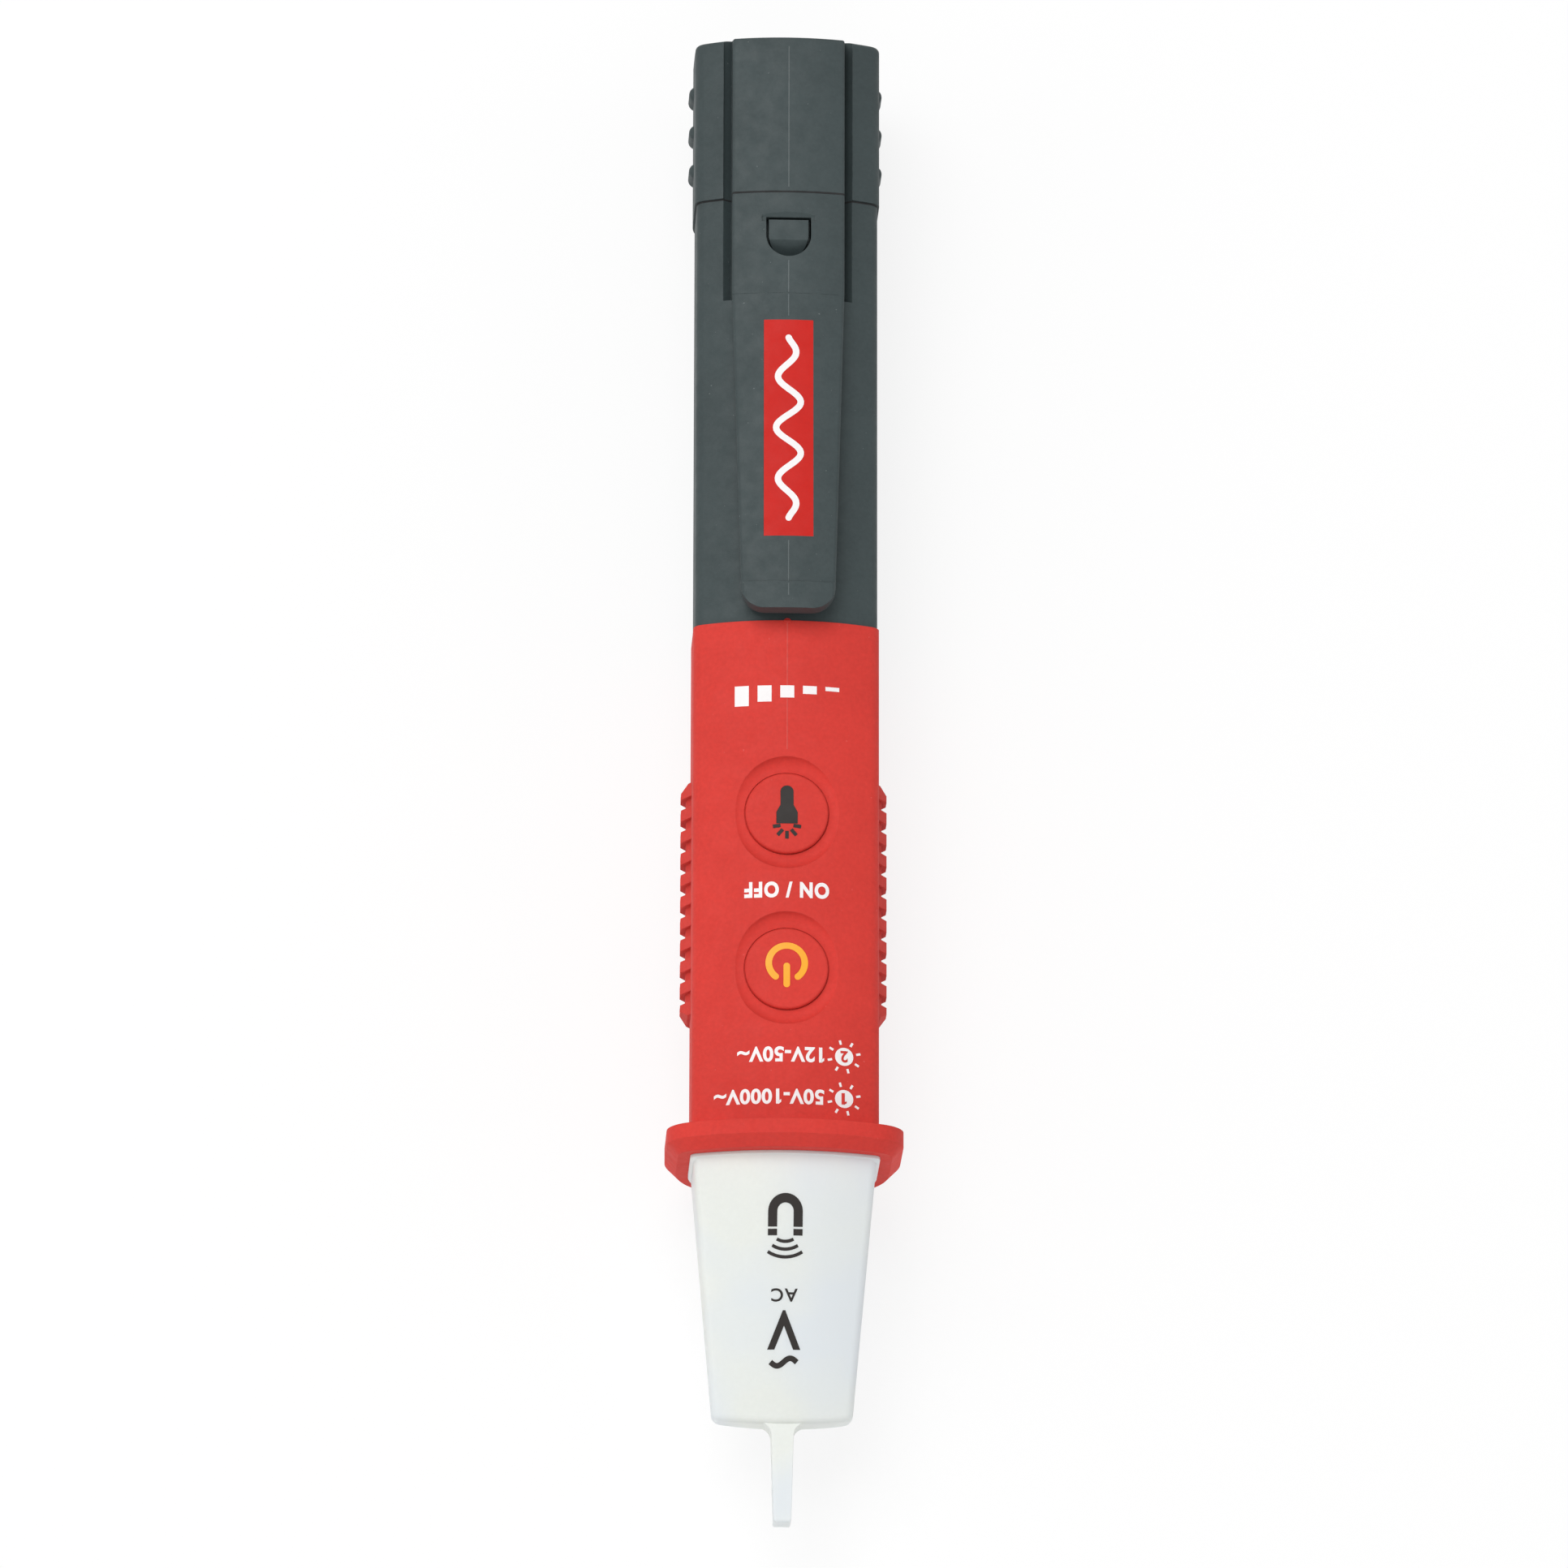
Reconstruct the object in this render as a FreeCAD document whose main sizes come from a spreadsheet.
"""Pen-style non contact voltage tester, as an assembly of separate pieces.

Frame, in millimetres: the tester lies on its back. X runs across it, Y along it from the
probe end (-Y) to the battery cap (+Y), and Z up through the keys and the clip. The origin
is at the middle of the base of its box, so the back of the finger guard is at Z = 0.
"""

import FreeCAD
import Part
import Sketcher
import math
import os

Vector = FreeCAD.Vector

DRIVING_SIZES = {
    # lengths along the tester, from the probe end to the cap
    "prong_length": 12.0,
    "tip_length": 29.1,
    "guard_thickness": 3.0,
    "sleeve_length": 59.7,
    "barrel_length": 51.45,
    "cap_length": 20.75,
    # the casing's cross-section
    "body_width": 21.0,
    "body_depth": 21.2,
    "crown_radius": 22.0,
    "front_corner": 1.5,
    "back_corner": 9.5,
    "inner_corner": 0.6,
    "wall": 1.6,
    "sleeve_thickness": 1.2,
    "sleeve_proud": 0.2,
    "cap_proud": 0.23,
    "guard_overhang": 3.0,
    "guard_chamfer": 1.3,
    # raised platform along the front, and the latch window in it
    "platform_length": 12.45,
    "platform_width": 13.0,
    "platform_rise": 2.0,
    "platform_edge": 0.35,
    "platform_foot": 2.0,
    "side_groove_width": 1.0,
    "side_groove_depth": 0.65,
    "platform_crown": 28.0,
    "window_width": 5.2,
    "window_length": 4.8,
    "window_bridge": 3.15,
    "window_bevel": 0.6,
    "window_bevel_width": 6.2,
    "window_bevel_depth": 0.3,
    # pocket clip and the inlay along it
    "clip_length": 38.5,
    "clip_nose_width": 10.7,
    "clip_rise": 1.7,
    "clip_thickness": 1.65,
    "clip_nose_corner": 2.75,
    "clip_lip_length": 3.2,
    "clip_lip_depth": 0.7,
    "label_width": 5.7,
    "label_length": 26.5,
    "label_start": 3.3,
    "label_depth": 0.3,
    # keys
    "key_radius": 4.75,
    "key_gap": 0.12,
    "key_pitch": 18.4,
    "key_from_guard": 18.4,
    "key_proud": 0.12,
    "key_flange": 0.85,
    "key_flange_thickness": 0.8,
    "key_edge": 0.3,
    "key_dome": 26.0,
    "dish_radius": 5.4,
    "dish_tube": 1.3,
    "dish_lift": 0.4,
    "symbol_depth": 0.7,
    "symbol_proud": 0.03,
    "power_ring_radius": 2.43,
    "power_stroke": 0.75,
    "power_gap_angle": 76.0,
    "power_ring_place": 0.52,
    "power_bar_length": 2.87,
    "torch_head_width": 2.43,
    "torch_body_width": 1.48,
    "torch_body_length": 2.32,
    "torch_head_length": 2.22,
    "torch_place": 3.17,
    "torch_ray_length": 0.87,
    "torch_ray_width": 0.4,
    "torch_ray_start": 0.75,
    "torch_ray_gap": 0.14,
    "torch_ray_fan": 41.0,
    # finger grips on the sides of the sleeve
    "grip_from_guard": 14.8,
    "rib_pitch": 2.58,
    "groove_count": 10,
    "grip_length": 27.6,
    "grip_height": 1.15,
    "grip_chamfer": 0.8,
    "grip_depth": 6.4,
    "grip_slope": 2.2,
    "groove_depth": 0.6,
    "groove_width": 1.25,
    # battery cap
    "dome_radius": 42.0,
    "dome_wide_radius": 90.0,
    "dome_edge": 0.7,
    "bump_from_end": 5.3,
    "bump_pitch": 4.75,
    "bump_radius": 0.95,
    "bump_proud": 0.55,
    "bump_height": 3.0,
    "spigot_length": 9.0,
    "spigot_gap": 0.1,
    "seal_thickness": 0.6,
    "seal_width": 0.9,
    "latch_width": 5.0,
    "latch_thickness": 1.0,
    "latch_gap": 0.3,
    "latch_sunk": 0.3,
    "latch_flat_share": 0.5,
    "latch_toe": 0.4,
    "latch_length": 16.5,
    "latch_travel": 2.6,
    # probe end
    "lip_length": 0.7,
    "lip_width": 21.6,
    "tip_width": 20.9,
    "tip_end_width": 16.0,
    "tip_end_depth": 4.4,
    "tip_end_lower": 11.2,
    "tip_crown": 26.0,
    "tip_corner": 1.2,
    "tip_back_corner": 8.0,
    "tip_bulge": 0.65,
    "tip_end_corner": 1.0,
    "tip_wall": 1.2,
    "prong_root_width": 2.6,
    "prong_end_width": 2.0,
    "prong_depth": 3.2,
    "prong_fillet": 1.5,
    "prong_edge": 0.35,
    "collar_length": 5.0,
    "collar_gap": 0.05,
    # cells and the carrier under the board
    "cell_diameter": 10.5,
    "cell_length": 44.5,
    "cell_nub_diameter": 3.8,
    "cell_nub_length": 0.8,
    "cell_gap": 0.15,
    "cell_end_gap": 8.0,
    "carrier_width": 14.8,
    "carrier_clearance": 0.6,
    # circuit board and what is on it
    "board_width": 12.6,
    "board_thickness": 1.0,
    "board_nose_length": 13.5,
    "board_nose_width": 9.6,
    "board_tail": 15.5,
    "switch_size": 5.2,
    "switch_height": 1.4,
    "switch_gap": 0.35,
    "plunger_radius": 1.3,
    "plunger_height": 0.5,
    "bore_gap": 0.08,
    "buzzer_diameter": 9.0,
    "buzzer_height": 4.0,
    "foam_thickness": 0.8,
    "antenna_radius": 0.5,
    "antenna_inset": 3.0,
    "antenna_length": 17.0,
    "riser_radius": 0.35,
    "antenna_gap": 0.05,
    "screw_radius": 0.8,
    "screw_inset": 1.8,
    "screw_from_cell": 7.3,
    "leaf_thickness": 0.3,
    "leaf_width": 4.0,
}


def text_of(number):
    """The sheet formula of a number, or the number itself as text."""
    return getattr(number, "text", repr(float(number)))


class Size(float):
    """A number that also carries the sheet formula it comes from."""

    def __new__(cls, value, text=None):
        size = super().__new__(cls, value)
        size.text = text or repr(float(value))
        return size

    def __add__(self, other):
        return Size(float(self) + float(other), f"({self.text} + {text_of(other)})")

    def __radd__(self, other):
        return Size(float(other) + float(self), f"({text_of(other)} + {self.text})")

    def __sub__(self, other):
        return Size(float(self) - float(other), f"({self.text} - {text_of(other)})")

    def __rsub__(self, other):
        return Size(float(other) - float(self), f"({text_of(other)} - {self.text})")

    def __mul__(self, other):
        return Size(float(self) * float(other), f"({self.text} * {text_of(other)})")

    def __rmul__(self, other):
        return Size(float(other) * float(self), f"({text_of(other)} * {self.text})")

    def __truediv__(self, other):
        return Size(float(self) / float(other), f"({self.text} / {text_of(other)})")

    def __neg__(self):
        return Size(-float(self), f"(0 - {self.text})")


class Sheet:
    """The driving sizes, one row each, read back as attributes."""

    def __init__(self, doc, sizes):
        table = doc.addObject("Spreadsheet::Sheet", "Sizes")
        for row, (alias, value) in enumerate(sizes.items(), start=1):
            table.set(f"A{row}", alias.replace("_", " "))
            table.set(f"B{row}", str(value))
            table.setAlias(f"B{row}", alias)
            setattr(self, alias, Size(value, f"Sizes.{alias}"))


doc = FreeCAD.newDocument("voltage_tester")
size = Sheet(doc, DRIVING_SIZES)
doc.recompute()
nodes = {}

# ---------------------------------------------------------------- places worked out once

TOTAL = (size.prong_length + size.tip_length + size.guard_thickness
         + size.sleeve_length + size.barrel_length + size.cap_length)
PROBE_END = -TOTAL / 2
SHOULDER = PROBE_END + size.prong_length
GUARD_LOW = SHOULDER + size.tip_length
GUARD_TOP = GUARD_LOW + size.guard_thickness
SLEEVE_TOP = GUARD_TOP + size.sleeve_length
SEAM = SLEEVE_TOP + size.barrel_length
CAP_END = SEAM + size.cap_length

HALF = size.body_width / 2
BACK = size.guard_overhang
FRONT = BACK + size.body_depth
MIDDLE = BACK + size.body_depth / 2
RECESS = size.sleeve_thickness - size.sleeve_proud
INNER = RECESS + size.wall
PLATFORM_TOP = FRONT + size.platform_rise
PLATFORM_END = SEAM - size.platform_length

KEY_PLACES = {
    "power": GUARD_TOP + size.key_from_guard,
    "torch": GUARD_TOP + size.key_from_guard + size.key_pitch,
}
KEY_TOP = FRONT + size.sleeve_proud + size.key_proud

CELL_AXIS = BACK + INNER + size.cell_gap + size.cell_diameter / 2 + 0.1
CELL_START = SEAM + size.cap_length - size.cell_end_gap - size.cell_length * 2
BOARD_LOW = CELL_AXIS + size.cell_diameter / 2 + 0.05
BOARD_TOP = BOARD_LOW + size.board_thickness
SWITCH_TOP = BOARD_TOP + size.switch_height
PLUNGER_TOP = SWITCH_TOP + size.plunger_height
FLANGE_LOW = PLUNGER_TOP + size.switch_gap
CARRIER_LOW = BACK + INNER + size.carrier_clearance
CARRIER_START = GUARD_LOW + size.collar_length + 0.4
BORE_START = CELL_START - size.leaf_thickness * 3
BOARD_END = KEY_PLACES["torch"] + size.board_tail
BOARD_START = GUARD_LOW - size.board_nose_length
WINDOW_TOP = SEAM - size.window_bridge
WINDOW_LOW = WINDOW_TOP - size.window_length
LATCH_START = WINDOW_LOW - size.latch_gap
LATCH_ROOT = LATCH_START + size.latch_length
CHANNEL_ROOF = PLATFORM_TOP - size.wall
LATCH_TOP = CHANNEL_ROOF - size.latch_gap / 2
LATCH_LOW = LATCH_TOP - size.latch_thickness
TIP_END_TOP = size.tip_end_lower + size.tip_end_depth
PRONG_LOW = size.tip_end_lower + (size.tip_end_depth - size.prong_depth) / 2

ABOUT_X = Vector(1, 0, 0)
ABOUT_Z = Vector(0, 0, 1)
TURNS = {"z": FreeCAD.Rotation(), "y": FreeCAD.Rotation(ABOUT_X, -90)}

# ---------------------------------------------------------------- primitives and booleans


def bind(obj, path, value):
    """Ties one property of an object to the sheet."""
    obj.setExpression(path, text_of(value))


def place(obj, x, y, z):
    """Ties an object's position to the sheet."""
    for axis, value in zip("xyz", (x, y, z)):
        bind(obj, f".Placement.Base.{axis}", value)
    return obj


def box(name, width, length, height, y, z, x=0.0):
    """A box centred on x, starting at y and standing on z."""
    obj = doc.addObject("Part::Box", name)
    bind(obj, "Length", width)
    bind(obj, "Width", length)
    bind(obj, "Height", height)
    return place(obj, x - width / 2, y, z)


def rod(name, axis, radius, length, x, y, z):
    """A cylinder from a point along +y or +z."""
    obj = doc.addObject("Part::Cylinder", name)
    obj.Placement = FreeCAD.Placement(Vector(), TURNS[axis])
    bind(obj, "Radius", radius)
    bind(obj, "Height", length)
    return place(obj, x, y, z)


def cut(name, base, tool):
    """One solid less another."""
    obj = doc.addObject("Part::Cut", name)
    obj.Base = base
    obj.Tool = tool
    obj.Refine = True
    return obj


def join(name, *shapes):
    """Solids joined, or kept as a group where they lie apart."""
    obj = doc.addObject("Part::MultiFuse", name)
    obj.Shapes = list(shapes)
    obj.Refine = True
    return obj


def shared(name, *shapes):
    """The space that all the shapes share."""
    obj = doc.addObject("Part::MultiCommon", name)
    obj.Shapes = list(shapes)
    obj.Refine = True
    return obj


def rounded(name, base, radius, wanted):
    """Rounds the edges of a shape that a test picks out."""
    doc.recompute()
    picked = [i for i, edge in enumerate(base.Shape.Edges, start=1) if wanted(edge)]
    obj = doc.addObject("Part::Fillet", name)
    obj.Base = base
    obj.Edges = [(i, float(radius), float(radius)) for i in picked]
    return obj


def keep(node, obj):
    """Names an object as one of the tester's pieces."""
    obj.Label = node
    nodes[node] = obj
    return obj


# ---------------------------------------------------------------- sketched features

PLANE_NORMALS = {"XY_Plane": (0, 0, 1), "XZ_Plane": (0, -1, 0), "YZ_Plane": (1, 0, 0)}


def new_body(name):
    """An empty body whose frame is the tester's own."""
    return doc.addObject("PartDesign::Body", name)


def new_sketch(body, name, role, offset):
    """A sketch parallel to one of the body's own planes, at a distance along its normal."""
    plane = next(f for f in body.Origin.OriginFeatures if f.Role == role)
    sketch = body.newObject("Sketcher::SketchObject", name)
    sketch.AttachmentSupport = (plane, [""])
    sketch.MapMode = "FlatFace"
    bind(sketch, ".AttachmentOffset.Base.z", offset)
    return sketch


def fix(sketch, label, value, kind, *where):
    """Adds a dimension to a sketch and ties it to the sheet."""
    index = sketch.addConstraint(Sketcher.Constraint(kind, *where, float(value)))
    sketch.renameConstraint(index, label)
    bind(sketch, f"Constraints.{label}", value)


def polygon(body, name, role, offset, points):
    """A closed outline of straight edges whose corners are all tied to the sheet."""
    sketch = new_sketch(body, name, role, offset)
    corners = [Vector(float(a), float(b), 0) for a, b in points]
    for i, corner in enumerate(corners):
        sketch.addGeometry(Part.LineSegment(corner, corners[(i + 1) % len(corners)]), False)
    for i in range(len(corners)):
        following = (i + 1) % len(corners)
        sketch.addConstraint(Sketcher.Constraint("Coincident", i, 2, following, 1))
    for i, (a, b) in enumerate(points):
        fix(sketch, f"across{i}", a, "DistanceX", -1, 1, i, 1)
        fix(sketch, f"along{i}", b, "DistanceY", -1, 1, i, 1)
    return sketch


def circle(body, name, role, offset, across, along, radius):
    """A circle tied to the sheet."""
    sketch = new_sketch(body, name, role, offset)
    centre = Vector(float(across), float(along), 0)
    sketch.addGeometry(Part.Circle(centre, Vector(0, 0, 1), float(radius)), False)
    fix(sketch, "across", across, "DistanceX", -1, 1, 0, 3)
    fix(sketch, "along", along, "DistanceY", -1, 1, 0, 3)
    fix(sketch, "radius", radius, "Radius", 0)
    return sketch


def section(body, name, y, half, low, high, crown, front_corner, back_corner):
    """The casing's cross-section: flat back, upright sides, crowned front, round corners."""
    sketch = new_sketch(body, name, "XZ_Plane", -y)
    crown_z = float(high) - float(crown)
    front_x = float(half) - float(front_corner)
    front_z = crown_z + math.sqrt((float(crown) - float(front_corner)) ** 2 - front_x**2)
    lean = math.atan2(front_z - crown_z, front_x)
    back_x = float(half) - float(back_corner)
    back_z = float(low) + float(back_corner)
    out = Vector(0, 0, 1)

    def arc(x, z, radius, start, end):
        ring = Part.Circle(Vector(x, z, 0), out, float(radius))
        sketch.addGeometry(Part.ArcOfCircle(ring, start, end), False)

    def line(x0, z0, x1, z1):
        sketch.addGeometry(Part.LineSegment(Vector(x0, z0, 0), Vector(x1, z1, 0)), False)

    edge = float(half)
    line(-back_x, float(low), back_x, float(low))
    arc(back_x, back_z, back_corner, -math.pi / 2, 0)
    line(edge, back_z, edge, front_z)
    arc(front_x, front_z, front_corner, 0, lean)
    arc(0, crown_z, crown, lean, math.pi - lean)
    arc(-front_x, front_z, front_corner, math.pi - lean, math.pi)
    line(-edge, front_z, -edge, back_z)
    arc(-back_x, back_z, back_corner, math.pi, 1.5 * math.pi)
    for i in range(8):
        sketch.addConstraint(Sketcher.Constraint("Tangent", i, 2, (i + 1) % 8, 1))
    sketch.addConstraint(Sketcher.Constraint("Horizontal", 0))
    sketch.addConstraint(Sketcher.Constraint("Vertical", 2))
    sketch.addConstraint(Sketcher.Constraint("Vertical", 6))
    sketch.addConstraint(Sketcher.Constraint("PointOnObject", 4, 3, -2))
    fix(sketch, "right_side", half, "DistanceX", -1, 1, 2, 1)
    fix(sketch, "left_side", -Size(half, text_of(half)), "DistanceX", -1, 1, 6, 1)
    fix(sketch, "back_face", low, "DistanceY", -1, 1, 0, 1)
    fix(sketch, "crown_centre", high - crown, "DistanceY", -1, 1, 4, 3)
    fix(sketch, "crown", crown, "Radius", 4)
    for index, radius in ((1, back_corner), (7, back_corner), (3, front_corner), (5, front_corner)):
        fix(sketch, f"corner{index}", radius, "Radius", index)
    return sketch


def casing(body, name, y, inset, front_corner=None):
    """The casing's cross-section, moved inwards all round by an inset."""
    corner = size.front_corner - inset if front_corner is None else front_corner
    return section(body, name, y, HALF - inset, BACK + inset, FRONT - inset,
                   size.crown_radius - inset, corner, size.back_corner - inset)


def feature(body, kind, name, sketch, length, towards):
    """A pad or a pocket of a sketch, along one axis direction."""
    normal = PLANE_NORMALS[next(r for r in PLANE_NORMALS
                                if sketch.AttachmentSupport[0][0].Role == r)]
    along = sum(a * b for a, b in zip(normal, towards))
    obj = body.newObject(f"PartDesign::{kind}", name)
    obj.Profile = sketch
    obj.Reversed = (along < 0) if kind == "Pad" else (along > 0)
    bind(obj, "Length", length)
    return obj


def pad(body, name, sketch, length, towards):
    """Adds material from a sketch."""
    return feature(body, "Pad", name, sketch, length, towards)


def pocket(body, name, sketch, length, towards):
    """Removes material from a sketch, and checks that it did."""
    doc.recompute()
    before = body.Shape.Volume
    obj = feature(body, "Pocket", name, sketch, length, towards)
    doc.recompute()
    if not body.Shape.Volume < before - 1e-6:
        raise RuntimeError(f"{name} removes nothing")
    return obj


UP, DOWN = (0, 0, 1), (0, 0, -1)
TO_CAP, TO_TIP = (0, 1, 0), (0, -1, 0)
RIGHT, LEFT = (1, 0, 0), (-1, 0, 0)


def loft(body, name, first, last):
    """A straight-sided solid between two sketches."""
    obj = body.newObject("PartDesign::AdditiveLoft", name)
    obj.Profile = first
    obj.Sections = [last]
    obj.Ruled = True
    return obj


def dress(body, kind, name, amount, wanted):
    """A fillet or chamfer on the edges of a body that a test picks out."""
    doc.recompute()
    base = body.Tip
    picked = [f"Edge{i}" for i, edge in enumerate(base.Shape.Edges, start=1) if wanted(edge)]
    obj = body.newObject(f"PartDesign::{kind}", name)
    obj.Base = (base, picked)
    bind(obj, "Radius" if kind == "Fillet" else "Size", amount)
    return obj


# ---------------------------------------------------------------- casing


def platform_section(body, name):
    """The outline of the raised strip along the front, with a crowned top."""
    return section(body, f"{name}_outline", SEAM, size.platform_width / 2,
                   FRONT - size.platform_foot, PLATFORM_TOP, size.platform_crown,
                   size.platform_edge, size.inner_corner)


def groove_outlines(body, name):
    """The sloping grooves at the foot of the platform's two sides."""
    near = size.platform_width / 2
    far = near + size.side_groove_width
    rim = crown_height(size.crown_radius, FRONT, far)
    return [polygon(body, f"{name}{side}", "XZ_Plane", -SEAM,
                    [(near * sign, rim - size.side_groove_depth), (far * sign, rim),
                     (far * sign, rim + 1), (near * sign, rim + 1)])
            for side, sign in enumerate((-1, 1))]


def crown_height(radius, top, across):
    """How high a crowned face stands at a distance from its middle line."""
    return top - radius + square_root(radius * radius - across * across)


def square_root(number):
    """The square root of a sheet formula."""
    return Size(math.sqrt(float(number)), f"sqrt({text_of(number)})")


def make_barrel():
    """The dark tube: slimmer under the sleeve, with the platform, window and key holes."""
    body = new_body("barrel")
    slim_length = size.guard_thickness + size.sleeve_length
    pad(body, "slim_part", casing(body, "slim_outline", GUARD_LOW, RECESS), slim_length, TO_CAP)
    pad(body, "full_part", casing(body, "full_outline", SLEEVE_TOP, Size(0)),
        size.barrel_length, TO_CAP)
    pad(body, "platform", platform_section(body, "platform"), size.platform_length, TO_TIP)
    for outline in groove_outlines(body, "side_groove"):
        pocket(body, f"{outline.Name}_cut", outline, size.platform_length, TO_TIP)
    bay = casing(body, "bay_outline", SEAM, size.wall, size.inner_corner)
    pocket(body, "battery_bay", bay, size.barrel_length - size.wall, TO_TIP)
    bore = casing(body, "bore_outline", SEAM, INNER, size.inner_corner)
    pocket(body, "lower_bore", bore, size.barrel_length + slim_length, TO_TIP)
    for name, y in KEY_PLACES.items():
        hole = circle(body, f"{name}_hole_outline", "XY_Plane", FRONT + 1, 0, y,
                      size.key_radius + size.key_gap)
        pocket(body, f"{name}_hole", hole, size.wall + RECESS + 3, DOWN)
    channel_half = size.latch_width / 2 + size.latch_gap
    channel_low = FRONT - size.wall - 1
    channel = polygon(body, "latch_channel_outline", "XZ_Plane", -SEAM,
                      [(-channel_half, channel_low), (channel_half, channel_low),
                       (channel_half, CHANNEL_ROOF), (-channel_half, CHANNEL_ROOF)])
    pocket(body, "latch_channel", channel, SEAM - LATCH_START + size.latch_gap, TO_TIP)
    make_window(body)
    keep("barrel", body)


def make_window(body):
    """The D-shaped latch window: straight towards the cap, round towards the probe."""
    radius = size.window_width / 2
    straight = WINDOW_TOP
    centre = WINDOW_LOW + radius
    sketch = new_sketch(body, "window_outline", "XY_Plane", PLATFORM_TOP + 1)
    top, mid, edge = float(straight), float(centre), float(radius)
    corners = [Vector(edge, mid, 0), Vector(edge, top, 0), Vector(-edge, top, 0), Vector(-edge, mid, 0)]
    for start, end in zip(corners, corners[1:]):
        sketch.addGeometry(Part.LineSegment(start, end), False)
    ring = Part.Circle(Vector(0, mid, 0), Vector(0, 0, 1), edge)
    sketch.addGeometry(Part.ArcOfCircle(ring, math.pi, 2 * math.pi), False)
    sketch.addConstraint(Sketcher.Constraint("Coincident", 0, 2, 1, 1))
    sketch.addConstraint(Sketcher.Constraint("Coincident", 1, 2, 2, 1))
    sketch.addConstraint(Sketcher.Constraint("Tangent", 2, 2, 3, 1))
    sketch.addConstraint(Sketcher.Constraint("Tangent", 3, 2, 0, 1))
    sketch.addConstraint(Sketcher.Constraint("Horizontal", 1))
    sketch.addConstraint(Sketcher.Constraint("Vertical", 0))
    fix(sketch, "radius", radius, "Radius", 3)
    fix(sketch, "centre", centre, "DistanceY", -1, 1, 3, 3)
    fix(sketch, "middle", Size(0), "DistanceX", -1, 1, 3, 3)
    fix(sketch, "straight_edge", straight, "DistanceY", -1, 1, 1, 1)
    pocket(body, "window", sketch, size.platform_rise + size.wall + 2, DOWN)
    bevel = polygon(body, "window_bevel_outline", "YZ_Plane", -size.window_bevel_width / 2,
                    [(straight - 0.5, PLATFORM_TOP - size.window_bevel_depth),
                     (straight, PLATFORM_TOP - size.window_bevel_depth),
                     (straight + size.window_bevel, PLATFORM_TOP),
                     (straight + size.window_bevel, PLATFORM_TOP + 1),
                     (straight - 0.5, PLATFORM_TOP + 1)])
    pocket(body, "window_bevel", bevel, size.window_bevel_width, RIGHT)


def in_plane(edge, axis, value):
    """Whether an edge lies in the plane where one coordinate has a value."""
    box_of = edge.BoundBox
    low, high = {"x": (box_of.XMin, box_of.XMax), "y": (box_of.YMin, box_of.YMax),
                 "z": (box_of.ZMin, box_of.ZMax)}[axis]
    return abs(low - value) < 0.01 and abs(high - value) < 0.01


def make_sleeve():
    """The red overmoulded grip: guard, side ribs, key holes and the dish round each key."""
    body = new_body("sleeve_blank")
    proud = -size.sleeve_proud
    pad(body, "grip", casing(body, "grip_outline", GUARD_TOP, proud), size.sleeve_length, TO_CAP)
    guard = casing(body, "guard_outline", GUARD_LOW, -size.guard_overhang)
    pad(body, "guard", guard, size.guard_thickness, TO_CAP)
    dress(body, "Chamfer", "guard_underside", size.guard_chamfer,
          lambda edge: in_plane(edge, "y", GUARD_LOW))
    for side, sign in (("right", 1), ("left", -1)):
        add_side_grip(body, side, sign)
    bore = casing(body, "sleeve_bore_outline", SLEEVE_TOP, RECESS)
    pocket(body, "sleeve_bore", bore, size.sleeve_length + size.guard_thickness, TO_TIP)
    for name, y in KEY_PLACES.items():
        hole = circle(body, f"{name}_opening_outline", "XY_Plane", KEY_TOP + 1, 0, y,
                      size.key_radius + size.key_gap)
        pocket(body, f"{name}_opening", hole, size.body_depth / 2, DOWN)
    dishes = []
    for name, y in KEY_PLACES.items():
        ring = doc.addObject("Part::Torus", f"{name}_dish")
        bind(ring, "Radius1", size.dish_radius)
        bind(ring, "Radius2", size.dish_tube)
        dishes.append(place(ring, 0, y, FRONT + size.sleeve_proud + size.dish_lift))
    dished = cut("dished_sleeve", body, join("key_dishes", *dishes))
    keep("grip_sleeve", cut("grooved_sleeve", dished, grip_grooves()))


def grip_profile(height):
    """Half the outline of a side grip across the tester, sloping in towards front and back."""
    face = HALF + size.sleeve_proud + height
    low = MIDDLE - size.grip_depth / 2
    high = MIDDLE + size.grip_depth / 2
    root = HALF - RECESS / 2
    slope = size.grip_slope
    return [(root, low), (face - size.grip_height, low), (face, low + slope), (face, high - slope),
            (face - size.grip_height, high), (root, high)]


def mirrored_points(points, sign):
    """Outline points on the right side, or their mirror images on the left."""
    return [(across * sign, along) for across, along in points]


def add_side_grip(body, side, sign):
    """A pad on one side of the sleeve, for finger and thumb, with chamfered ends."""
    start = GUARD_TOP + size.grip_from_guard
    outline = polygon(body, f"{side}_grip_outline", "XZ_Plane", -start,
                      mirrored_points(grip_profile(size.grip_height), sign))
    pad(body, f"{side}_grip", outline, size.grip_length, TO_CAP)
    face = sign * (HALF + size.sleeve_proud + size.grip_height)
    dress(body, "Chamfer", f"{side}_grip_ends", size.grip_chamfer,
          lambda edge: in_plane(edge, "x", face) and edge.BoundBox.YLength < 0.01)


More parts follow.
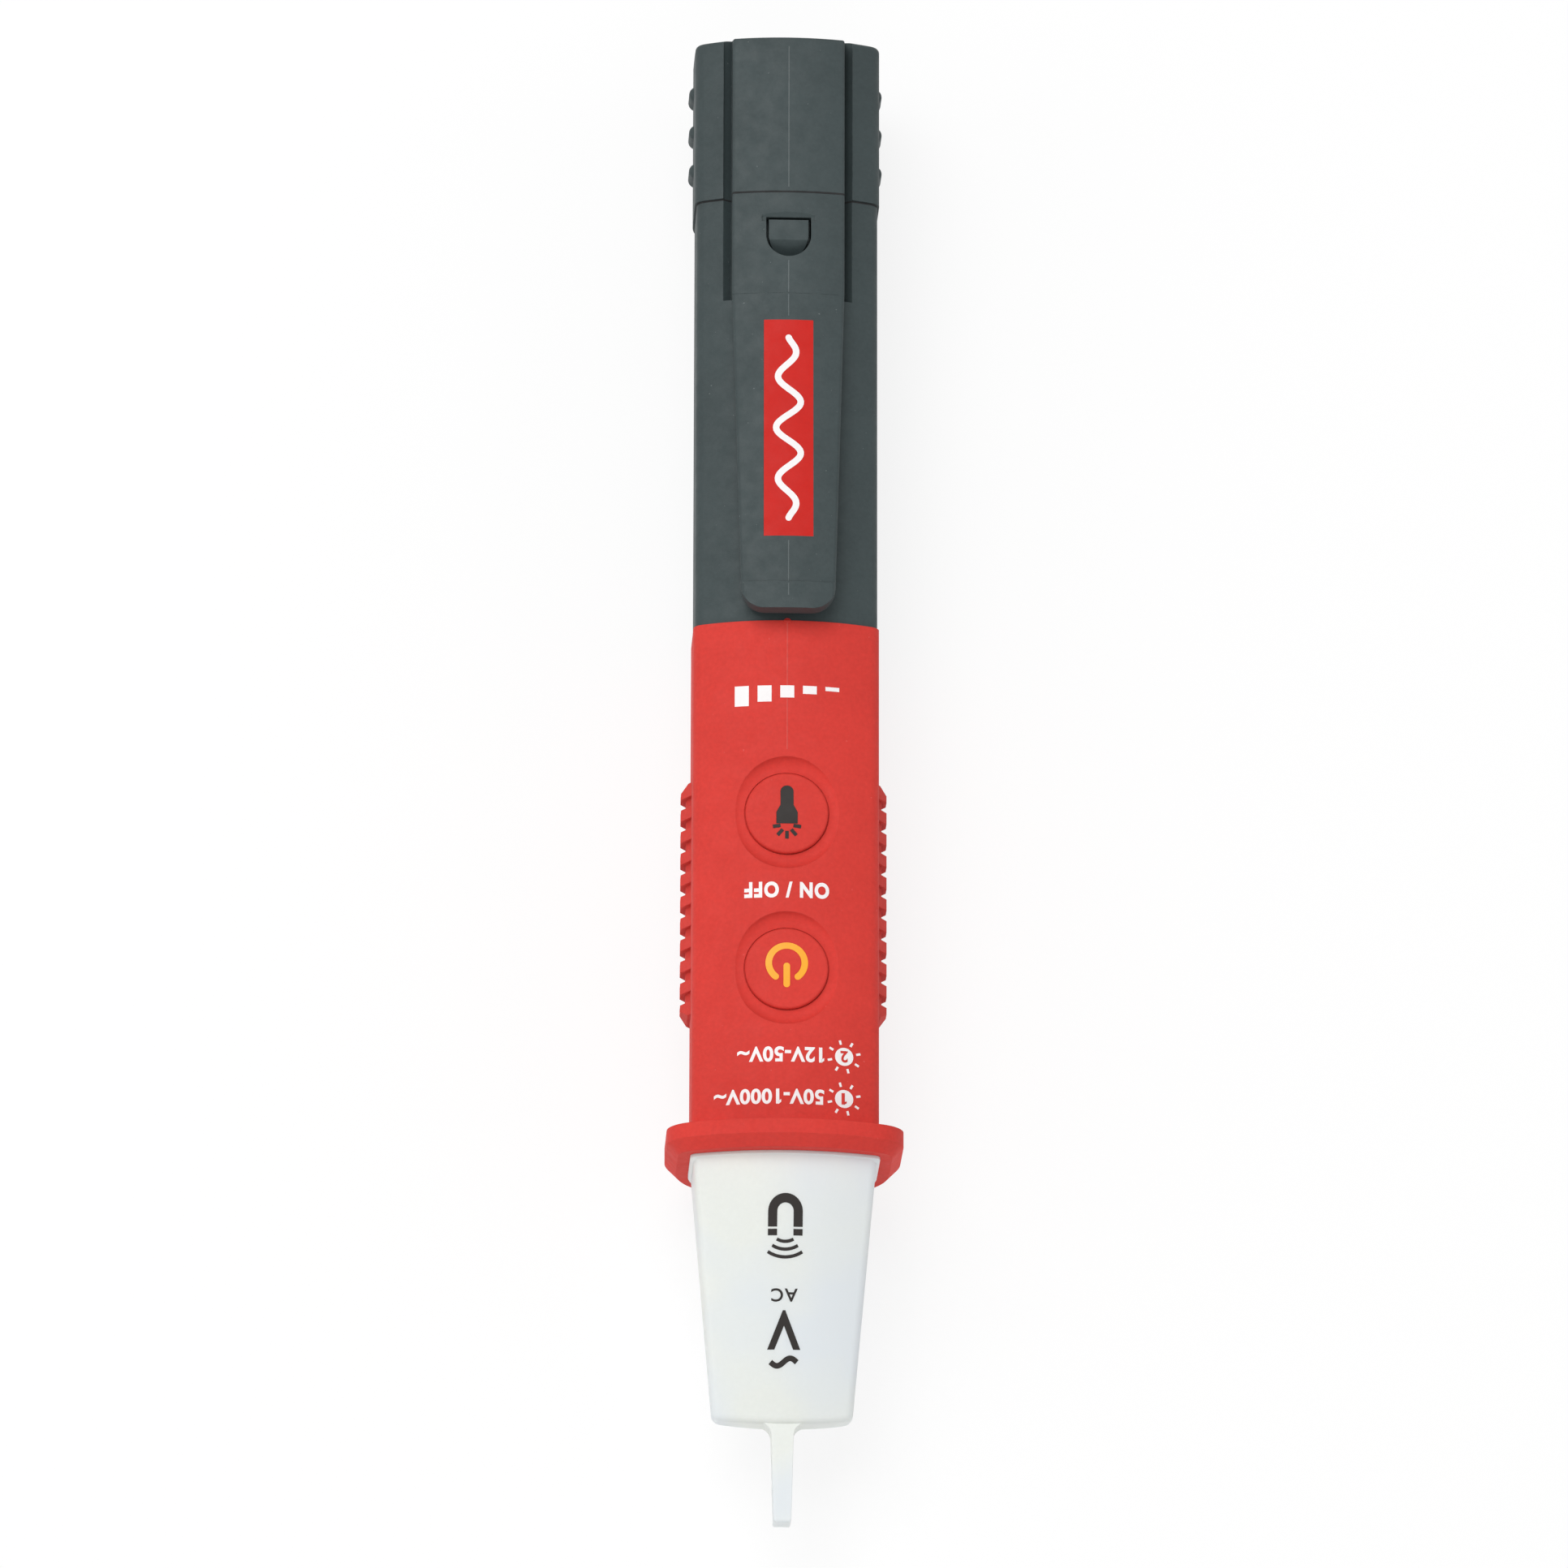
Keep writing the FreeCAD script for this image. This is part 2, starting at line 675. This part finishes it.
def grip_grooves():
    """The slots between the ribs of both grips, as deep as the ribs stand."""
    start = GUARD_TOP + size.grip_from_guard
    margin = (size.grip_length - size.rib_pitch * (size.groove_count - 1)) / 2
    width = size.body_width + size.grip_height * 4
    slabs = [box(f"groove{i}", width, size.groove_width, size.grip_depth + 1,
                 start + margin + size.rib_pitch * i - size.groove_width / 2,
                 MIDDLE - size.grip_depth / 2 - 0.5)
             for i in range(int(size.groove_count))]
    core = new_body("groove_core")
    for side, sign in (("right", 1), ("left", -1)):
        outline = polygon(core, f"{side}_core_outline", "XZ_Plane", -start, mirrored_points(
            grip_profile(size.grip_height - size.groove_depth), sign))
        pad(core, f"{side}_core", outline, size.grip_length, TO_CAP)
    middle = box("groove_middle", size.body_width + size.sleeve_proud * 2, size.grip_length,
                 size.body_depth, start, BACK)
    return cut("grip_grooves", cut("groove_slabs", join("groove_set", *slabs), middle), core)


# ---------------------------------------------------------------- probe end


def tip_solid(name, inset, start):
    """The wedge of the probe end, moved inwards by an inset and cut to its bulged end."""
    body = new_body(f"{name}_wedge")
    stop = SHOULDER - size.tip_bulge + inset
    front_slope = (FRONT - TIP_END_TOP) / size.tip_length
    back_slope = (size.tip_end_lower - BACK) / size.tip_length
    run = GUARD_LOW - stop
    drop = GUARD_LOW - start
    sketches = []
    for which, y, along in (("near", start, drop), ("far", stop, run)):
        half = size.tip_width / 2 - (size.tip_width - size.tip_end_width) / 2 * (along / size.tip_length)
        share = along / size.tip_length
        back_corner = size.tip_back_corner - (size.tip_back_corner - size.tip_corner) * share
        sketches.append(section(
            body, f"{name}_{which}", y, half - inset, BACK + back_slope * along + inset,
            FRONT - front_slope * along - inset, size.tip_crown - inset,
            size.tip_corner - inset * 0.6, back_corner - inset * 0.6))
    loft(body, f"{name}_loft", *sketches)
    chord = size.tip_end_width / 2
    end_radius = (chord * chord + size.tip_bulge * size.tip_bulge) / (size.tip_bulge * 2)
    bulge = rod(f"{name}_bulge", "z", end_radius, size.body_depth * 2, 0,
                SHOULDER - size.tip_bulge + inset + end_radius, -size.body_depth / 2)
    return shared(name, body, bulge)


def is_tip_corner(edge):
    """Whether an edge is one of the two upright corners at the probe end."""
    reach = edge.BoundBox
    narrow = reach.XLength < 0.6 and reach.YLength < 0.6 and reach.ZLength > 0.8
    return narrow and reach.YMax < float(SHOULDER) + 1.0 and abs(reach.Center.x) > 6.0


def make_tip():
    """The translucent probe end with its collar in the barrel and its sensing prong."""
    outside = tip_solid("tip_outside", Size(0), GUARD_LOW)
    softened = rounded("tip_softened", outside, size.tip_end_corner, is_tip_corner)
    inside = tip_solid("tip_inside", size.tip_wall, GUARD_LOW - size.tip_wall)
    ring_body = new_body("tip_ring")
    ring = section(ring_body, "tip_ring_outline", GUARD_LOW, size.lip_width / 2, BACK, FRONT,
                   size.tip_crown, size.tip_corner, size.back_corner)
    pad(ring_body, "tip_ring_pad", ring, size.lip_length, TO_TIP)
    dress(ring_body, "Chamfer", "tip_ring_slope", (size.lip_width - size.tip_width) / 2,
          lambda edge: in_plane(edge, "y", GUARD_LOW - size.lip_length))
    prong_body = new_body("prong")
    root = SHOULDER + 1.0
    corner = SHOULDER - size.tip_bulge
    half_root, half_end = size.prong_root_width / 2, size.prong_end_width / 2
    foot = half_root + size.prong_fillet * 1.2
    outline = polygon(prong_body, "prong_outline", "XY_Plane", PRONG_LOW,
                      [(-foot, root), (-foot, corner + 0.2), (-half_root, corner + 0.15),
                       (-half_end, PROBE_END), (half_end, PROBE_END),
                       (half_root, corner + 0.15), (foot, corner + 0.2), (foot, root)])
    pad(prong_body, "prong_pad", outline, size.prong_depth, UP)
    dress(prong_body, "Fillet", "prong_roots", size.prong_fillet,
          lambda edge: edge.BoundBox.ZLength > 1
          and abs(abs(edge.BoundBox.Center.x) - half_root) < 0.01
          and abs(edge.BoundBox.Center.y - (corner + 0.15)) < 0.01)
    dress(prong_body, "Fillet", "prong_edges", size.prong_edge,
          lambda edge: edge.BoundBox.YMax < corner - 2.0)
    collar_body = new_body("tip_collar")
    collar = casing(collar_body, "tip_collar_outline", GUARD_LOW - 1.0,
                    INNER + size.collar_gap, size.inner_corner)
    pad(collar_body, "tip_collar_pad", collar, size.collar_length + 1.0, TO_CAP)
    mouth_body = new_body("tip_mouth")
    mouth = casing(mouth_body, "tip_mouth_outline", GUARD_LOW - size.tip_wall - 1.0,
                   INNER + size.collar_gap + size.tip_wall, size.inner_corner)
    pad(mouth_body, "tip_mouth_pad", mouth, size.collar_length + size.tip_wall + 3, TO_CAP)
    whole = join("tip_whole", softened, ring_body, prong_body)
    shell = join("tip_shell", cut("tip_hollow", whole, inside), collar_body)
    axis = PRONG_LOW + size.prong_depth / 2
    wire_start = PROBE_END + size.antenna_inset
    antenna_hole = rod("antenna_hole", "y", size.antenna_radius + size.antenna_gap,
                       size.prong_length + 2.0, 0, wire_start, axis)
    keep("tip_housing", cut("tip_bored", shell, join("tip_voids", mouth_body, antenna_hole)))
    wire = rod("antenna_wire", "y", size.antenna_radius, size.antenna_length, 0, wire_start, axis)
    riser = rod("antenna_riser", "z", size.riser_radius, BOARD_LOW - axis, 0,
                wire_start + size.antenna_length - size.antenna_radius * 2, axis)
    keep("sensor_antenna", join("antenna", wire, riser))


# ---------------------------------------------------------------- keys and switches


def make_key(name, y, symbol):
    """A round key, crowned like the sleeve, with a retaining flange and an inlaid symbol."""
    stem = rod(f"{name}_key_stem", "z", size.key_radius, KEY_TOP + 1 - FLANGE_LOW, 0, y, FLANGE_LOW)
    crowned = shared(f"{name}_key_crowned", key_dome(f"{name}_key_dome", y, Size(0)), stem)
    flange = rod(f"{name}_key_flange", "z", size.key_radius + size.key_flange,
                 size.key_flange_thickness, 0, y, FLANGE_LOW)
    blank = join(f"{name}_key_blank", crowned, flange)
    soft = rounded(f"{name}_key_soft", blank, size.key_edge,
                   lambda edge: edge.BoundBox.ZMin > KEY_TOP - 1
                   and edge.BoundBox.XLength > size.key_radius * 1.5)
    keep(f"{name}_key", cut(f"{name}_key_cut", soft, symbol))
    raised = key_dome(f"{name}_symbol_dome", y, size.symbol_proud)
    keep(f"{name}_symbol", shared(f"{name}_symbol_trim", symbol, raised))


def key_dome(name, y, proud):
    """The large sphere that rounds the top of a key or of its symbol."""
    dome = doc.addObject("Part::Sphere", name)
    bind(dome, "Radius", size.key_dome + proud)
    return place(dome, 0, y, KEY_TOP - size.key_dome)


def power_mark():
    """The standby mark: an open ring with a bar in its gap, which faces the probe."""
    y = KEY_PLACES["power"] + size.power_ring_place
    low = KEY_TOP - size.symbol_depth
    tall = size.symbol_depth + 1
    swept = 360 - float(size.power_gap_angle)
    disc = rod("power_disc", "z", size.power_ring_radius, tall, 0, y, low)
    disc.Angle = swept
    turn = FreeCAD.Rotation(Vector(0, 0, 1), -90 + float(size.power_gap_angle) / 2)
    disc.Placement = FreeCAD.Placement(disc.Placement.Base, turn)
    ring = cut("power_ring", disc, rod("power_hole", "z", size.power_ring_radius - size.power_stroke,
                                       tall, 0, y, low))
    round_end = size.power_stroke / 2
    middle = size.power_ring_radius - round_end
    half_gap = math.radians(float(size.power_gap_angle) / 2)
    ends = [rod(f"power_end{i}", "z", round_end, tall, middle * (sign * math.sin(half_gap)),
                y - middle * math.cos(half_gap), low) for i, sign in enumerate((-1, 1))]
    bar_top = y - round_end
    bar = box("power_bar", size.power_stroke, size.power_bar_length - size.power_stroke, tall,
              bar_top + size.power_stroke - size.power_bar_length, low)
    bar_ends = [rod(f"bar_end{i}", "z", round_end, tall, 0, place_y, low)
                for i, place_y in enumerate((bar_top, bar_top + size.power_stroke
                                             - size.power_bar_length))]
    return join("power_mark", ring, bar, *ends, *bar_ends)


def torch_mark():
    """The torch mark: a handle, a flared head and five rays towards the probe."""
    centre = KEY_PLACES["torch"]
    top = centre + size.torch_place
    neck = top - size.torch_body_length
    low = KEY_TOP - size.symbol_depth
    tall = size.symbol_depth + 1
    head = size.torch_head_width / 2
    handle = size.torch_body_width / 2
    flare = neck - size.torch_head_length * 0.4
    mouth = neck - size.torch_head_length
    body = new_body("torch_outline_body")
    shoulder = top - handle
    outline = polygon(body, "torch_outline", "XY_Plane", low,
                      [(-handle, shoulder), (-handle, neck), (-head, flare), (-head, mouth),
                       (head, mouth), (head, flare), (handle, neck), (handle, shoulder)])
    pad(body, "torch_pad", outline, tall, UP)
    round_end = rod("torch_end", "z", handle, tall, 0, shoulder, low)
    return join("torch_mark", body, round_end, *torch_rays(mouth, low, tall))


def torch_rays(mouth, low, tall):
    """Five short bars that fan out from in front of the torch's head."""
    fan_centre = mouth - size.torch_ray_gap
    reach = size.torch_ray_start + size.torch_ray_length
    rays = []
    for i in range(5):
        lean = math.radians(float(size.torch_ray_fan) * (i - 2))
        ray = doc.addObject("Part::Box", f"torch_ray{i}")
        bind(ray, "Length", size.torch_ray_width)
        bind(ray, "Width", size.torch_ray_length)
        bind(ray, "Height", tall)
        ray.Placement = FreeCAD.Placement(Vector(), FreeCAD.Rotation(ABOUT_Z, math.degrees(lean)))
        half = size.torch_ray_width / 2
        place(ray, reach * math.sin(lean) - half * math.cos(lean),
              fan_centre - reach * math.cos(lean) - half * math.sin(lean), low)
        rays.append(ray)
    return rays


def make_switch(name, y):
    """A low tactile switch on the board and the plunger that the key presses."""
    half = size.switch_size / 2
    case = box(f"{name}_switch_case", size.switch_size, size.switch_size, size.switch_height,
               y - half, BOARD_TOP)
    bore = rod(f"{name}_switch_bore", "z", size.plunger_radius + size.bore_gap,
               size.switch_height, 0, y, BOARD_TOP + 0.4)
    keep(f"{name}_switch", cut(f"{name}_switch_bored", case, bore))
    plunger = rod(f"{name}_plunger_rod", "z", size.plunger_radius,
                  size.plunger_height + 0.6, 0, y, SWITCH_TOP - 0.6)
    keep(f"{name}_plunger", plunger)


# ---------------------------------------------------------------- battery cap and latch


def make_cap():
    """The domed battery cap with its spigot, grip bumps and the slot of its latch."""
    shell = new_body("cap_blank")
    outline = casing(shell, "cap_outline", SEAM, -size.cap_proud)
    pad(shell, "cap_shell", outline, size.cap_length, TO_CAP)
    strip = new_body("cap_strip")
    pad(strip, "cap_platform", platform_section(strip, "cap_platform"), size.cap_length, TO_CAP)
    softened = [rounded(f"{blank.Name}_softened", shared(f"{blank.Name}_domed", blank,
                                                         cap_dome(f"{blank.Name}_dome")),
                        edge_radius, is_dome_edge)
                for blank, edge_radius in ((shell, size.dome_edge), (strip, size.platform_edge * 0.8))]
    grooves = new_body("cap_grooves")
    for outline in groove_outlines(grooves, "cap_groove"):
        pad(grooves, f"{outline.Name}_pad", outline, size.cap_length, TO_CAP)
    bumps = [cap_bump(f"bump{i}{side}", sign, CAP_END - size.bump_from_end - size.bump_pitch * i)
             for side, sign in enumerate((-1, 1)) for i in range(3)]
    domed = join("cap_outside", cut("cap_grooved", join("cap_body", *softened), grooves), *bumps)
    spigot_body = new_body("cap_spigot")
    spigot = casing(spigot_body, "cap_spigot_outline", SEAM + 1.0,
                    size.wall + size.spigot_gap, size.inner_corner)
    pad(spigot_body, "cap_spigot_pad", spigot, size.spigot_length + 1.0, TO_TIP)
    whole = join("cap_whole", domed, spigot_body)
    bore = rod("cap_bore", "y", size.cell_diameter / 2 + size.cell_gap + 0.25,
               size.spigot_length + size.cap_length - 2.8, 0,
               SEAM - size.spigot_length, CELL_AXIS)
    slot_width = size.latch_width + size.latch_gap * 2
    slot_low = LATCH_LOW - size.latch_travel
    slot = box("latch_slot", slot_width, size.spigot_length + LATCH_ROOT - SEAM,
               CHANNEL_ROOF - slot_low, SEAM - size.spigot_length, slot_low)
    keep("battery_cap", cut("cap_cut", whole, join("cap_voids", bore, slot, seal_ring("cap_groove"))))
    latch_way = box("gasket_gap", size.latch_width + size.latch_gap * 2, size.seal_thickness + 1,
                    size.latch_travel + size.latch_thickness, SEAM - 0.5, LATCH_LOW - size.latch_travel)
    keep("cap_seal", cut("cap_gasket_open", seal_ring("cap_gasket"), latch_way))


def cap_bump(name, sign, y):
    """A short upright ridge with round ends on one side of the cap."""
    across = sign * (HALF + size.cap_proud + size.bump_proud - size.bump_radius)
    low = MIDDLE - size.bump_height / 2
    parts = [rod(f"{name}_ridge", "z", size.bump_radius, size.bump_height, across, y, low)]
    for end, z in (("low", low), ("high", low + size.bump_height)):
        ball = doc.addObject("Part::Sphere", f"{name}_{end}_end")
        bind(ball, "Radius", size.bump_radius)
        parts.append(place(ball, across, y, z))
    return join(name, *parts)


def cap_dome(name):
    """The ring whose outer face domes the end of the cap, flatter across than from front to back."""
    dome = doc.addObject("Part::Torus", name)
    bind(dome, "Radius1", size.dome_wide_radius - size.dome_radius)
    bind(dome, "Radius2", size.dome_radius)
    return place(dome, 0, CAP_END - size.dome_wide_radius, MIDDLE)


def seal_ring(name):
    """The flat gasket let into the cap's shoulder, against the end of the barrel."""
    rings = []
    for part, inset in (("outer", size.wall - size.seal_width / 2),
                        ("inner", size.wall + size.spigot_gap)):
        body = new_body(f"{name}_{part}")
        outline = casing(body, f"{name}_{part}_outline", SEAM, inset, size.inner_corner)
        pad(body, f"{name}_{part}_pad", outline, size.seal_thickness, TO_CAP)
        rings.append(body)
    return cut(name, *rings)


def is_dome_edge(edge):
    """Whether an edge bounds the cap's domed end."""
    reach = edge.BoundBox
    return reach.YMin > float(CAP_END) - 4.5 and reach.YMax < float(CAP_END) - 0.3


def make_latch():
    """The springy tongue that holds the cap, with its catch standing in the window."""
    strip = box("latch_strip", size.latch_width, size.latch_length, size.latch_thickness,
                LATCH_START, LATCH_LOW)
    radius = size.window_width / 2 - size.latch_gap
    straight = WINDOW_TOP - size.latch_gap
    centre = WINDOW_LOW + size.window_width / 2
    top = PLATFORM_TOP - size.latch_sunk
    rise = top - LATCH_TOP + 0.2
    disc = rod("catch_disc", "z", radius, rise, 0, centre, LATCH_TOP - 0.2)
    block = box("catch_block", radius * 2, straight - centre, rise, centre, LATCH_TOP - 0.2)
    ramp_body = new_body("catch_ramp")
    ramp = polygon(ramp_body, "catch_ramp_outline", "YZ_Plane", -size.window_width / 2,
                   [(WINDOW_LOW, LATCH_TOP - 0.5), (straight, LATCH_TOP - 0.5), (straight, top),
                    (straight - size.window_length * size.latch_flat_share, top),
                    (WINDOW_LOW + size.latch_toe, LATCH_TOP), (WINDOW_LOW, LATCH_TOP)])
    pad(ramp_body, "catch_ramp_pad", ramp, size.window_width, RIGHT)
    catch = shared("catch", join("catch_blank", disc, block), ramp_body)
    keep("cap_latch", join("latch_joined", strip, catch))


# ---------------------------------------------------------------- pocket clip


def make_clip():
    """The tapering pocket clip that continues the platform, with its coloured inlay."""
    nose = PLATFORM_END - size.clip_length
    root_low = PLATFORM_TOP - size.clip_thickness
    nose_top = PLATFORM_TOP + size.clip_rise
    body = new_body("clip_blank")
    root = section(body, "clip_root", PLATFORM_END, size.platform_width / 2, root_low,
                   PLATFORM_TOP, size.platform_crown, size.inner_corner * 0.7, size.inner_corner / 3)
    end = section(body, "clip_nose", nose, size.clip_nose_width / 2,
                  nose_top - size.clip_thickness, nose_top, size.platform_crown,
                  size.inner_corner * 0.7, size.inner_corner / 3)
    loft(body, "clip_blade", root, end)
    lip = section(body, "clip_lip_outline", nose, size.clip_nose_width / 2,
                  nose_top - size.clip_thickness - size.clip_lip_depth,
                  nose_top - 0.02, size.platform_crown, size.inner_corner * 0.7,
                  size.inner_corner / 3)
    pad(body, "clip_lip", lip, size.clip_lip_length, TO_CAP)
    plan_body = new_body("clip_plan")
    root_half, nose_half = size.platform_width / 2, size.clip_nose_width / 2
    plan = polygon(plan_body, "clip_plan_outline", "XY_Plane", FRONT - 1,
                   [(-root_half, PLATFORM_END), (-nose_half, nose), (nose_half, nose),
                    (root_half, PLATFORM_END)])
    pad(plan_body, "clip_plan_pad", plan, size.platform_rise + size.clip_rise + 3, UP)
    dress(plan_body, "Fillet", "clip_nose_corners", size.clip_nose_corner,
          lambda edge: edge.BoundBox.ZLength > 1 and edge.BoundBox.YMax < nose + 0.01)
    blank = shared("clip_rounded", body, plan_body)
    angle = math.degrees(math.atan2(float(size.clip_rise), float(size.clip_length)))
    tilt = FreeCAD.Rotation(ABOUT_X, -angle)
    label_far = PLATFORM_END - size.label_start - size.label_length
    rise_there = size.clip_rise / size.clip_length * (size.label_start + size.label_length)
    column = doc.addObject("Part::Box", "label_column")
    column.Placement = FreeCAD.Placement(Vector(), tilt)
    bind(column, "Length", size.label_width)
    bind(column, "Width", size.label_length)
    bind(column, "Height", size.label_depth + 1)
    place(column, -size.label_width / 2, label_far,
          PLATFORM_TOP + rise_there - size.label_depth - 0.15)
    keep("pocket_clip", cut("clip_recessed", blank, column))
    keep("clip_inlay", shared("label_trimmed", column, blank))


# ---------------------------------------------------------------- inside the casing


def make_carrier():
    """The moulded frame that holds the cells in line and carries the board."""
    length = SEAM - size.spigot_length - 1.0 - CARRIER_START
    blank = box("carrier_blank", size.carrier_width, length, BOARD_LOW - CARRIER_LOW,
                CARRIER_START, CARRIER_LOW)
    bore = rod("carrier_bore", "y", size.cell_diameter / 2 + size.cell_gap,
               size.cell_length * 2, 0, BORE_START, CELL_AXIS)
    buzzer_y = (KEY_PLACES["power"] + CARRIER_START) / 2
    well_depth = size.buzzer_height + size.foam_thickness
    well = rod("buzzer_well", "z", size.buzzer_diameter / 2 + 0.15, well_depth + 1,
               0, buzzer_y, BOARD_LOW - well_depth)
    pilots = screws("carrier_pilot", size.screw_radius, 3.0, BOARD_LOW - 3.0)
    fit_body = new_body("carrier_fit")
    fit = casing(fit_body, "carrier_fit_outline", CARRIER_START, INNER + size.carrier_clearance,
                 size.inner_corner)
    pad(fit_body, "carrier_fit_pad", fit, length, TO_CAP)
    keep("battery_carrier", cut("carrier_cut", shared("carrier_rounded", blank, fit_body),
                                join("carrier_voids", bore, well, *pilots)))
    keep("buzzer", rod("buzzer_can", "z", size.buzzer_diameter / 2, size.buzzer_height,
                       0, buzzer_y, BOARD_LOW - size.buzzer_height))


def screws(name, radius, length, z):
    """A pair of cylinders where the board's two screws are, clear of the front cell."""
    across = size.board_width / 2 - size.screw_inset
    return [rod(f"{name}{i}", "z", radius, length, sign * across, CELL_START - size.screw_from_cell, z)
            for i, sign in enumerate((-1, 1))]


def make_cells():
    """Two cells in line, with their nubs towards the cap, and the contacts at both ends."""
    for i, name in enumerate(("front_cell", "rear_cell")):
        start = CELL_START + size.cell_length * i
        can = rod(f"{name}_can", "y", size.cell_diameter / 2,
                  size.cell_length - size.cell_nub_length, 0, start, CELL_AXIS)
        nub = rod(f"{name}_nub", "y", size.cell_nub_diameter / 2, size.cell_nub_length, 0,
                  start + size.cell_length - size.cell_nub_length, CELL_AXIS)
        keep(name, join(f"{name}_joined", can, nub))
    plate = box("inner_contact_plate", size.leaf_width, size.leaf_thickness, size.cell_diameter / 2,
                BORE_START, CELL_AXIS - size.cell_diameter / 4)
    finger = box("inner_contact_finger", size.leaf_width / 2, size.leaf_thickness * 2,
                 size.cell_diameter / 4, BORE_START + size.leaf_thickness,
                 CELL_AXIS - size.cell_diameter / 8)
    keep("inner_contact", join("inner_contact_joined", plate, finger))
    cell_end = CELL_START + size.cell_length * 2
    wall_face = CAP_END - 2.8
    disc = rod("cap_contact_disc", "y", size.cell_diameter / 2 - 0.6, size.leaf_thickness, 0,
               wall_face - size.leaf_thickness, CELL_AXIS)
    cone = doc.addObject("Part::Cone", "cap_contact_cone")
    cone.Placement = FreeCAD.Placement(Vector(), TURNS["y"])
    bind(cone, "Radius1", size.cell_nub_diameter / 2)
    bind(cone, "Radius2", size.cell_diameter / 2 - 1.4)
    bind(cone, "Height", wall_face - size.leaf_thickness - cell_end)
    place(cone, 0, cell_end, CELL_AXIS)
    keep("cap_contact", join("cap_contact_joined", disc, cone))


def make_board():
    """The circuit board: wide in the barrel, narrow in the probe end."""
    wide = box("board_wide", size.board_width, BOARD_END - GUARD_LOW, size.board_thickness,
               GUARD_LOW, BOARD_LOW)
    nose = box("board_nose", size.board_nose_width, size.board_nose_length, size.board_thickness,
               BOARD_START, BOARD_LOW)
    holes = screws("board_hole", size.screw_radius + 0.1, size.board_thickness, BOARD_LOW)
    keep("circuit_board", cut("board_drilled", join("board_blank", wide, nose),
                              join("board_holes", *holes)))
    shanks = screws("screw_shank", size.screw_radius, 2.8 + size.board_thickness, BOARD_LOW - 2.8)
    heads = screws("screw_head", size.screw_radius * 1.8, 0.9, BOARD_TOP)
    keep("board_screws", join("screws_joined", *shanks, *heads))


def make_parts_on_board():
    """The chips, lamps and sensors that stand on the board."""
    middle = (KEY_PLACES["power"] + KEY_PLACES["torch"]) / 2
    keep("microcontroller", box("controller_case", 5.0, 4.4, 1.2, middle - 2.2, BOARD_TOP))
    front = KEY_PLACES["power"] - 5.0
    keep("sensor_amplifier", box("amplifier_case", 4.0, 3.0, 1.2, front - 3.0, BOARD_TOP))
    resistors = [box(f"chip_resistor{i}", 0.8, 1.6, 0.5, front - 5.4 - 2.4 * (i // 4),
                     BOARD_TOP, x=-3.6 + 2.4 * (i % 4)) for i in range(8)]
    keep("chip_resistors", join("chip_resistors_joined", *resistors))
    capacitors = [box(f"chip_capacitor{i}", 1.6, 1.2, 0.9, KEY_PLACES["torch"] + 4.4 + 2.0 * i,
                      BOARD_TOP, x=-2.4) for i in range(3)]
    keep("chip_capacitors", join("chip_capacitors_joined", *capacitors))
    keep("field_sensor", box("field_sensor_case", 2.9, 1.6, 1.1, BOARD_START + 5.4, BOARD_TOP))
    for name, x in (("voltage_lamp", -3.0), ("magnet_lamp", 3.0)):
        base = box(f"{name}_base", 2.4, 2.8, 0.6, BOARD_START + 1.0, BOARD_TOP, x=x)
        lens = doc.addObject("Part::Sphere", f"{name}_lens")
        bind(lens, "Radius", Size(0.9))
        place(lens, Size(x), BOARD_START + 2.4, BOARD_TOP + 0.95)
        keep(name, join(f"{name}_joined", base, lens))
    barrel = rod("torch_lamp_barrel", "y", 1.5, 3.6, 0, BOARD_START - 3.2, BOARD_LOW - 1.6)
    nose = doc.addObject("Part::Sphere", "torch_lamp_nose")
    bind(nose, "Radius", Size(1.5))
    place(nose, 0, BOARD_START - 3.2, BOARD_LOW - 1.6)
    keep("torch_lamp", join("torch_lamp_joined", barrel, nose))
    keep("light_baffle", box("baffle_wall", 0.8, 3.6, 1.6, BOARD_START + 0.6, BOARD_TOP))
    keep("buzzer_foam", rod("foam_disc", "z", size.buzzer_diameter / 2 - 1.0, size.foam_thickness,
                            0, (KEY_PLACES["power"] + CARRIER_START) / 2,
                            BOARD_LOW - size.buzzer_height - size.foam_thickness))


make_barrel()
make_sleeve()
make_tip()
make_key("power", KEY_PLACES["power"], power_mark())
make_key("torch", KEY_PLACES["torch"], torch_mark())
for key_name, key_y in KEY_PLACES.items():
    make_switch(key_name, key_y)
make_cap()
make_latch()
make_clip()
make_carrier()
make_cells()
make_board()
make_parts_on_board()
doc.recompute()

# ---------------------------------------------------------------- checks and files

failed = [obj.Name for obj in doc.Objects if "Invalid" in obj.State or "Error" in obj.State]
if failed:
    raise RuntimeError(f"these failed: {failed}")
os.makedirs("parts", exist_ok=True)
for node, obj in nodes.items():
    shape = obj.Shape
    if shape.isNull() or not shape.isValid() or not shape.Solids:
        raise RuntimeError(f"{node} has no sound shape")
    shape.exportStep(f"parts/{node}.step")
    reach = shape.optimalBoundingBox()
    print(f"{node:18s} solids {len(shape.Solids)}  volume {shape.Volume:9.2f}  "
          f"x {reach.XMin:7.2f} {reach.XMax:7.2f}  y {reach.YMin:7.2f} {reach.YMax:7.2f}  "
          f"z {reach.ZMin:6.2f} {reach.ZMax:6.2f}")
